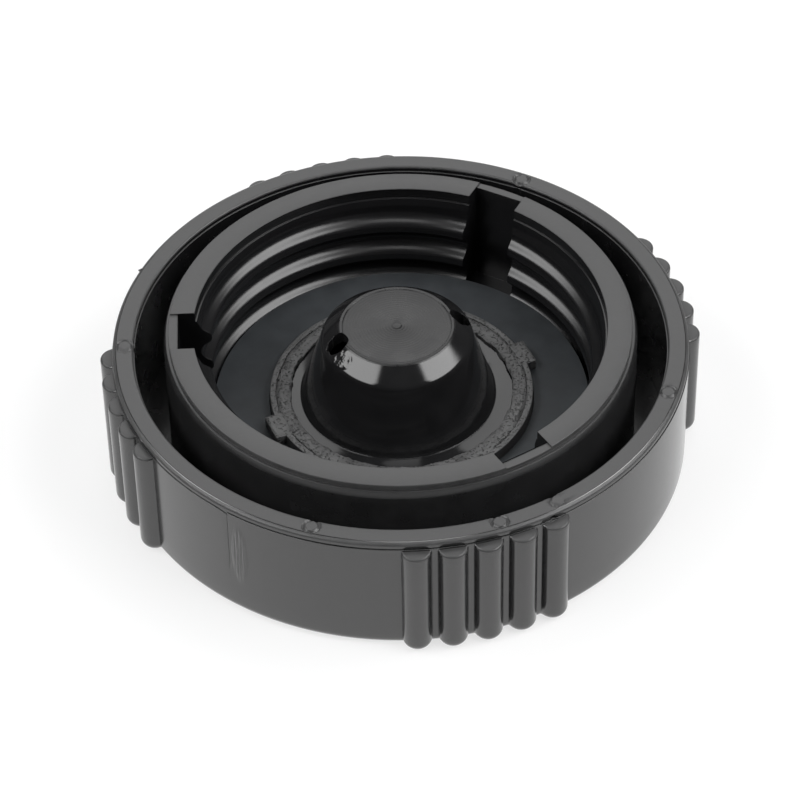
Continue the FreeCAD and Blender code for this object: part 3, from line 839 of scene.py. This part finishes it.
def add_collar(skin):
    """Outer wall, lip, bore and floor. Returns the ring in the groove and the one on the floor."""
    columns = collar_columns()

    def row(place):
        return skin.ring([column.point(*place(column)) for column in columns])

    def plain(radius, height):
        return lambda column: (radius, height)

    def lip(radius, height):
        """A row of the lip, which is cut down where a slot passes."""
        def place(column):
            face = math.hypot(SLOT_FACE, column.across or 0.0)
            if column.inside:
                return max(radius, face), min(height, LIP_TOP - SLOT_LIP_CUT)
            return radius, height
        return place

    def bore(height_at):
        """A row of the bore, whose height may follow the thread."""
        def place(column):
            near = column.turn(THREAD_ROOT)
            height = height_at(near)
            if column.inside:
                return math.hypot(SLOT_FACE, column.across), height
            radius = bore_radius(near, height)
            return bore_radius(column.turn(radius), height), height
        return place

    def follow(below):
        """Height on the thread's slope, that far below the uppermost ridge."""
        return lambda angle: min(THREAD_FOOT, max(SEAT_FLOOR, ridge_centre(angle) - below))

    # the collar's outer wall in the groove takes the darker inner-wall slot, painted shade
    rows = [(row(plain(COLLAR_RADIUS, GROOVE_FLOOR)), SHADED_INNER_WALL)]
    bevel_top = LIP_RADIUS + SHOULDER_FLAT
    shoulder = [
        (COLLAR_RADIUS, LIP_FOOT - SHOULDER_TAPER - 0.08),
        (COLLAR_RADIUS - 0.03, LIP_FOOT - SHOULDER_TAPER + 0.06),
        (bevel_top + 0.05, LIP_FOOT - 0.12),
        (bevel_top + 0.01, LIP_FOOT - 0.03),
        (bevel_top - 0.08, LIP_FOOT),
        (LIP_RADIUS, LIP_FOOT),
    ]
    rows += [(row(plain(x, z)), SHOULDER) for x, z in shoulder]
    outer = (LIP_RADIUS - EDGE_ROUND, LIP_TOP - EDGE_ROUND)
    rows += [(row(lip(x, z)), FACE) for x, z in round_points(outer, EDGE_ROUND, 0, 90, steps=3)]
    inner = (MOUTH_RADIUS + EDGE_ROUND, LIP_TOP - EDGE_ROUND)
    rows += [(row(lip(x, z)), FACE) for x, z in round_points(inner, EDGE_ROUND, 90, 180, steps=3)]
    # the bore, its thread and the floor under the gasket take the darker bore slot, painted shade
    depth = LIP_TOP - EDGE_ROUND - THREAD_FOOT
    heights = [LIP_TOP - EDGE_ROUND - depth * i / MOUTH_SPACES for i in range(MOUTH_SPACES + 1)]
    ledge = [MOUTH_FOOT + 0.005, MOUTH_FOOT - 0.04]
    for height in sorted(heights + ledge, reverse=True):
        rows.append((row(bore(lambda angle: height)), SHADED_BORE))
    offsets = [offset for offset, _ in reversed(RIDGE)] + [-offset for offset, _ in RIDGE[1:]]
    for turn in range(math.ceil((THREAD_END_HEIGHT - SEAT_FLOOR) / THREAD_PITCH) + 1):
        for offset in offsets:
            rows.append((row(bore(follow(turn * THREAD_PITCH - offset))), SHADED_BORE))
    rows.append((row(bore(lambda angle: SEAT_FLOOR)), SHADED_BORE))
    rows.append((row(plain(FLOOR_INNER, SEAT_FLOOR)), SHADED_BORE))
    return skin.loft(rows)


# Cap body: boss with its staked lip and lugs, vent chamber and crown

def rough(angle, row, scale):
    """Smooth noise round the axis, about -1 to 1."""
    place = Vector((math.cos(angle), math.sin(angle), 0)) * STAKE_OUTER * scale
    return noise.noise(place + Vector((0, 0, row))) * 2


def add_boss(skin):
    """From the foot of the boss over its top and through the chamber to the crown face."""
    edge = (BOSS_RADIUS - EDGE_ROUND, BOSS_TOP - EDGE_ROUND)
    outside = [(BOSS_RADIUS, SEAT_FLOOR), *round_points(edge, EDGE_ROUND, 0, 90, steps=3)]
    staked = [
        # radius, height, how far the ring wanders sideways and sinks
        (STAKE_OUTER + 0.2, BOSS_TOP, 0.08, 0.02),
        (STAKE_OUTER + 0.06, BOSS_TOP - 0.3, 0.1, 0.05),
        (STAKE_OUTER - 0.1, BOSS_TOP - 0.05, 0.12, 0.1),
        (STAKE_OUTER - 0.35, STAKE_TOP - 0.05, 0.12, 0.12),
        (STAKE_OUTER - 0.8, STAKE_TOP, 0.15, 0.1),
        (STAKE_OUTER - 1.2, STAKE_TOP - 0.04, 0.15, 0.12),
        (STAKE_INNER + 0.7, STAKE_TOP - 0.1, 0.15, 0.12),
        (STAKE_INNER + 0.25, STAKE_TOP - 0.12, 0.15, 0.12),
        (STAKE_INNER + 0.02, STAKE_TOP - 0.3, 0.18, 0.08),
    ]
    lip_foot = (STAKE_INNER, FLANGE_TOP, 0.18, 0)
    within = [
        (RECESS_RADIUS, FLANGE_TOP),
        (RECESS_RADIUS, LEDGE),
        (CHAMBER_RADIUS, LEDGE),
        (CHAMBER_RADIUS, CHAMBER_FLOOR),
        (VENT_BORE, CHAMBER_FLOOR),
        (VENT_BORE, CROWN_RECESS_TOP),
        (CROWN_RECESS, CROWN_RECESS_TOP),
        (CROWN_RECESS, 0.0),
    ]
    profile = [((x, z, 0, 0), FACE) for x, z in outside]
    profile += [(place, STAKED) for place in staked]
    profile += [(lip_foot, FACE)] + [((x, z, 0, 0), FACE) for x, z in within]
    rows = []
    for index, ((radius, height, wander, lift), kind) in enumerate(profile):
        points = []
        for i in range(BOSS_POINTS):
            angle = math.tau * i / BOSS_POINTS
            # a slow wave and a finer one for each; the height only sinks
            out = rough(angle, index * 0.6, 0.3) * wander + rough(angle, index * 0.6 + 20, 2.6) * wander * 0.4
            rise = rough(angle, index * 0.8 + 40, 0.9) * lift * 0.5 + rough(angle, index * 2 + 60, 3.7) * lift
            points.append(polar(radius + out, angle, height + min(0.0, rise - lift)))
        rows.append((skin.ring(points), kind))
    return skin.loft(rows)


def lug_outline():
    """A lug's outline, its corners rounded."""
    outline = []
    corners = ((LUG_REACH, LUG_HALF), (LUG_START, LUG_HALF), (LUG_START, -LUG_HALF), (LUG_REACH, -LUG_HALF))
    for index, (x, y) in enumerate(corners):
        start = index * 90
        outward = math.radians(start + 45)
        x -= LUG_CORNER * math.copysign(1, math.cos(outward))
        y -= LUG_CORNER * math.copysign(1, math.sin(outward))
        outline += round_points((x, y), LUG_CORNER, start, start + 90, steps=4)
    return outline


def add_lug(skin, angle):
    """Bar from the staked lip out over the gasket, with a rough top and soft edges."""
    middle = LUG_START + (LUG_REACH - LUG_START) / 2
    levels = [
        # share of the way to the lug's middle, height
        (0.0, LUG_FOOT),
        (0.0, STAKE_TOP - 0.3),
        (0.06, STAKE_TOP - 0.12),
        (0.18, STAKE_TOP - 0.04),
        (0.35, STAKE_TOP),
        (0.6, STAKE_TOP),
        (0.85, STAKE_TOP),
    ]
    rows = []
    for index, (share, height) in enumerate(levels):
        points = []
        for x, y in lug_outline():
            x += (middle - x) * share
            y -= y * share
            bump = noise.noise(Vector((x * 0.9, y * 0.9, angle))) if index > 1 else 0.0
            spot = Matrix.Rotation(angle, 2) @ Vector((x, y))
            points.append((spot.x, spot.y, height - abs(bump) * 0.35))
        rows.append((skin.ring(points), STAKED))
    for end in skin.loft(rows):
        skin.lid(end, STAKED)


def add_flake(skin, angle, radius, height, length, width):
    """A small torn bit of flash that stands out of an edge."""
    tangent = Vector((-math.sin(angle), math.cos(angle), 0))
    out = Vector((math.cos(angle), math.sin(angle), 0))
    base = out * radius + Vector((0, 0, height))
    ring = [base - tangent * length / 2, base + tangent * length / 2, base + tangent * length * 0.2 + out * width]
    low = skin.ring([tuple(point) for point in ring])
    high = skin.ring([tuple(point + Vector((0, 0, FLASH_THICKNESS))) for point in ring])
    skin.strip(low, high, FACE)
    skin.lid(low, FACE)
    skin.lid(high, FACE)


def make_cap(materials):
    skin = Skin()
    crown_outer, groove_outer = add_skirt(skin)
    groove_inner, floor_outer = add_collar(skin)
    floor_inner, crown_inner = add_boss(skin)
    skin.stitch(groove_outer, groove_inner, SHADED_INNER_WALL)
    skin.stitch(floor_outer, floor_inner, SHADED_BORE)
    skin.stitch(crown_inner, crown_outer, WALL)
    for turn in (0, math.pi):
        add_lug(skin, math.radians(LUG_ANGLE) + turn)
    add_flake(
        skin, math.radians(RIM_FLASH_ANGLE), radius=RIM_EDGE + 0.5, height=RIM_HEIGHT - 0.3,
        length=0.9, width=0.45,
    )
    for place in STAKE_FLASH_ANGLES:
        stray = noise.noise(Vector((place * 0.7, 3.0, 0.0)))
        add_flake(
            skin, math.radians(place + stray * 2), radius=STAKE_OUTER - 0.1 + stray * 0.4,
            height=STAKE_TOP - 0.15, length=0.6 + stray * 0.4, width=0.4 + stray * 0.3,
        )
    cap = skin.piece("cap_moulding", materials)
    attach(cap, "cap")
    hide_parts("cap_body")


# Vent housing and spring

def make_drill(index, angle, distance, radius, material):
    """Upright rod with a slightly torn side, which cuts one vent hole."""
    middle = polar(distance, math.radians(angle), 0)
    drill = Skin()
    rings = []
    for height in (SHOULDER_HEIGHT - 2.4, HOUSING_TOP + 1):
        ring = []
        for i in range(HOLE_POINTS):
            turn = math.tau * i / HOLE_POINTS
            tear = HOLE_TEAR * noise.noise(Vector((math.cos(turn) * 2.2, math.sin(turn) * 2.2, index)))
            reach = radius + tear
            ring.append((middle[0] + reach * math.cos(turn), middle[1] + reach * math.sin(turn), height))
        rings.append(drill.ring(ring))
    drill.strip(*rings)
    drill.lid(rings[0])
    drill.lid(reversed(rings[1]))
    return drill.piece(f"drill_{index}", [material])


def cut_holes(housing, drills):
    """Takes the drills out of the housing's mesh, and removes them."""
    for index, drill in enumerate(drills):
        cut = housing.modifiers.new(f"vent_{index}", "BOOLEAN")
        cut.operation = "DIFFERENCE"
        cut.solver = "EXACT"
        cut.object = drill
    bpy.context.view_layer.update()
    evaluated = housing.evaluated_get(bpy.context.evaluated_depsgraph_get())
    cut_mesh = bpy.data.meshes.new_from_object(evaluated)
    housing.modifiers.clear()
    housing.data = cut_mesh
    for drill in drills:
        bpy.data.objects.remove(drill)


def make_housing(materials):
    """Vent housing as a turned shell, with its holes cut and torn a little."""
    disc = [
        # the nub in the middle, the flat, and the rounded ring round it
        (0.0, HOUSING_TOP + 0.14),
        (0.6, HOUSING_TOP + 0.13),
        (0.85, HOUSING_TOP + 0.07),
        (1.05, HOUSING_TOP),
        (DISC_RADIUS - 0.8, HOUSING_TOP),
        (DISC_RADIUS - 0.72, HOUSING_TOP + 0.02),
        (DISC_RADIUS - 0.62, HOUSING_TOP + 0.1),
        (DISC_RADIUS - 0.5, HOUSING_TOP + 0.12),
        (DISC_RADIUS - 0.22, HOUSING_TOP + 0.1),
        (DISC_RADIUS - 0.05, HOUSING_TOP),
        (DISC_RADIUS + 0.1, HOUSING_TOP - 0.12),
    ]
    shell = [
        (SHOULDER_RADIUS - 0.6, SHOULDER_HEIGHT + 0.48),
        (SHOULDER_RADIUS - 0.3, SHOULDER_HEIGHT + 0.2),
        (SHOULDER_RADIUS - 0.1, SHOULDER_HEIGHT - 0.1),
        (SHOULDER_RADIUS + 0.02, SHOULDER_HEIGHT - 0.45),
        (SHOULDER_RADIUS + 0.16, SHOULDER_HEIGHT - 0.95),
        (CONE_RADIUS - 0.2, FLANGE_TOP + 0.7),
        (CONE_RADIUS - 0.1, FLANGE_TOP + 0.25),
        (CONE_RADIUS + 0.05, FLANGE_TOP + 0.06),
        (CONE_RADIUS + 0.25, FLANGE_TOP),
        (FLANGE_RADIUS, FLANGE_TOP),
        (FLANGE_RADIUS, PLATE_TOP),
        (CONE_RADIUS - HOUSING_WALL, PLATE_TOP),
        (SHOULDER_RADIUS - HOUSING_WALL, SHOULDER_HEIGHT - HOUSING_WALL / 2),
        (DISC_RADIUS - HOUSING_WALL / 2, CEILING),
        (GUIDE_OUTER, CEILING),
        (GUIDE_OUTER, GUIDE_FOOT),
        (GUIDE_BORE, GUIDE_FOOT),
        (GUIDE_BORE, CEILING),
        (0.0, CEILING),
    ]
    skin = Skin()
    turns = [math.tau * i / HOUSING_POINTS for i in range(HOUSING_POINTS)]
    rows = []
    for kind, profile in ((DISC, disc), (GLOSS, shell)):
        for radius, height in profile:
            rows.append((skin.ring([polar(radius, turn, height) for turn in turns]), kind))
    skin.loft(rows)
    housing = skin.piece("vent_cone", materials)
    cut_holes(housing, [make_drill(index, *hole, materials[GLOSS]) for index, hole in enumerate(VENT_HOLES)])
    housing.data.transform(Matrix.Translation(Vector(HOUSING_AXIS) * MM))
    housing.data.set_sharp_from_angle(angle=math.radians(HOUSING_SHARP))
    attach(housing, "cap")
    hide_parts("vent_housing")


def make_spring(materials):
    """Coil with its ends ground flat."""
    skin = Skin()
    rows = []
    spaces = WIRE_RINGS_A_TURN * SPRING_TURNS
    for i in range(spaces + 1):
        share = i / spaces
        middle = SPRING_FOOT + (CEILING - SPRING_FOOT) * share
        section = round_points((SPRING_RADIUS, middle), WIRE_RADIUS, 0, 360, WIRE_POINTS)[:-1]
        angle = math.tau * SPRING_TURNS * share
        points = [polar(radius, angle, min(CEILING, max(SPRING_FOOT, height))) for radius, height in section]
        rows.append((skin.ring(points), 0))
    for end in skin.loft(rows):
        skin.lid(end)
    spring = skin.piece("vent_spring", materials, sharp=SPRING_SHARP)
    spring.data.transform(Matrix.Translation(Vector(HOUSING_AXIS) * MM))
    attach(spring, "cap")
    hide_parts("valve_spring")
    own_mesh(spring)


# The scene

def finish_node(name, nodes):
    """Gives a CAD node its material."""
    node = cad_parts[name]
    node.data.materials.clear()
    node.data.materials.append(nodes.material)


def dressed(*all_nodes):
    return [nodes.material for nodes in all_nodes]


scratched = polar(
    WALL_RADIUS, math.radians(SEAM_ANGLE) + SCRATCHED_BESIDE_SEAM / WALL_RADIUS, SCRATCHED_HEIGHT,
)
torn_from_axis = polar(TORN_RADIUS, math.radians(TORN_ANGLE), TORN_HEIGHT)
torn = [place + shift for place, shift in zip(torn_from_axis, HOUSING_AXIS)]

# in the order of the slots' numbers: wall, face, inner wall and bore (both darker with painted shade), shoulder,
# staked
make_cap(dressed(
    scratches(
        plastic("cap_wall", (0.015, 0.015, 0.0153), 0.16, grain_strength=0.03, gloss=1.0, mottle=0.05),
        scratched, SCRATCHED_REACH, strength=1.0, scale=2600.0,
    ),
    plastic("cap_face", (0.039, 0.039, 0.0395), 0.42, grain_strength=0.16),
    # painted shade: a darker copy of the wall's plastic for the groove's walls
    plastic("cap_inner_wall_painted_shade", (0.009, 0.009, 0.0095), 0.25),
    # painted shade: a darker copy still for the bore, its thread and the floor under the gasket
    plastic("cap_bore_painted_shade", (0.006, 0.006, 0.0065), 0.26, grain_strength=0.04, mottle=0.05),
    plastic("cap_shoulder", (0.018, 0.018, 0.0185), 0.24),
    # the staked ring's pits are darkened with painted shade
    pits_with_painted_shade(
        plastic("cap_staked", (0.068, 0.068, 0.0685), 0.45, grain_strength=0.7, mottle=0.3, grain=3200.0),
        scale=2300.0, share=0.37, strength=0.6,
    ),
))
# GLOSS, DISC
make_housing(dressed(
    scratches(
        plastic("vent_gloss", (0.01, 0.01, 0.0105), 0.1, grain_strength=0.03),
        torn, TORN_REACH, strength=1.0, stretch=1.0, scale=700.0,
    ),
    turned_rings(
        plastic("vent_disc", (0.012, 0.012, 0.0125), 0.3, gloss=0.38, mottle=0.4),
        HOUSING_AXIS, pitch=0.55, strength=0.09,
    ),
))
finish_node("tank_gasket", plastic("gasket_rubber", (0.034, 0.037, 0.040), 0.5, gloss=0.15))
finish_node("seat_plate", plastic("plate_plastic", (0.03, 0.03, 0.031), 0.4))
finish_node("valve_poppet", plastic("poppet_plastic", (0.72, 0.7, 0.64), 0.35, mottle=0.04))
finish_node("valve_seal", plastic("seal_rubber", (0.02, 0.02, 0.02), 0.6, gloss=0.3))
finish_node("dust_filter", plastic("filter_foam", (0.1, 0.1, 0.11), 0.9, grain_strength=1.0, mottle=0.4))
wire = plastic("spring_wire", (0.6, 0.6, 0.62), 0.3, mottle=0.06)
wire.shader.inputs["Metallic"].default_value = 1.0
make_spring(dressed(wire))

make_floor()
make_world()
softbox("softbox_top", azimuth=0.0, elevation=82.0, half_width=9.0, half_height=9.0, radiance=3.0)
make_camera()
bpy.context.scene.view_settings.view_transform = "Standard"
